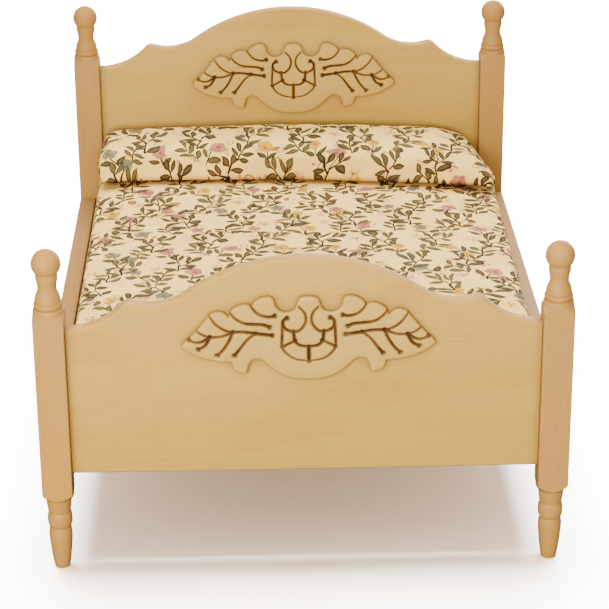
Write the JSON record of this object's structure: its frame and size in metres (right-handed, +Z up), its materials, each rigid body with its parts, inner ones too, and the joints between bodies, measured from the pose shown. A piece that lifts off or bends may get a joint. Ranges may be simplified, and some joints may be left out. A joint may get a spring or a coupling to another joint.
{
  "type": "miniature four poster bed",
  "caption": "Miniature bed with turned ball-top posts, shaped headboard and footboard with leaf carvings, slatted base, and a loose floral mattress and bolster.",
  "frame": {"origin": "on the floor, in the middle of the four feet", "axes": "+Z up, +Y towards the head of the bed, +X to the right seen from its foot"},
  "size_m": [0.138, 0.1738, 0.1078],
  "materials": {
    "post_wood": "thin satin varnish on pale, slightly pinkish wood",
    "board_wood": "thin satin varnish on pale honey wood, grain across the board",
    "carving_wood": "satin varnish, grooves scorched brown",
    "rail_wood": "thin satin varnish, grain along the rail",
    "base_wood": "bare planed wood",
    "printed_cotton": "cream cotton with a small leaf and flower print",
    "foam": "cream upholstery foam",
    "card": "grey-brown pressed card"
  },
  "bodies": {
    "bedstead": {"foot_post_left": "post_wood", "foot_post_right": "post_wood", "head_post_left": "post_wood", "head_post_right": "post_wood", "footboard_panel": "board_wood", "headboard_panel": "board_wood", "footboard_carving": "carving_wood", "headboard_carving": "carving_wood", "side_rail_left": "rail_wood", "side_rail_right": "rail_wood", "ledger_left": "base_wood", "ledger_right": "base_wood", "slat_1": "base_wood", "slat_2": "base_wood", "slat_3": "base_wood", "slat_4": "base_wood", "slat_5": "base_wood", "slat_6": "base_wood"},
    "mattress": {"mattress_cover": "printed_cotton", "mattress_core": "foam", "mattress_board": "card"},
    "bolster": {"bolster_cover": "printed_cotton", "bolster_core": "foam"}
  },
  "joints": [
    {"name": "mattress_lift", "type": "slide", "parent": "bedstead", "child": "mattress", "axis": [0, 0, 1], "range_m": [0, 0.08]},
    {"name": "bolster_lift", "type": "slide", "parent": "mattress", "child": "bolster", "axis": [0, 0, 1], "range_m": [0, 0.055]}
  ]
}
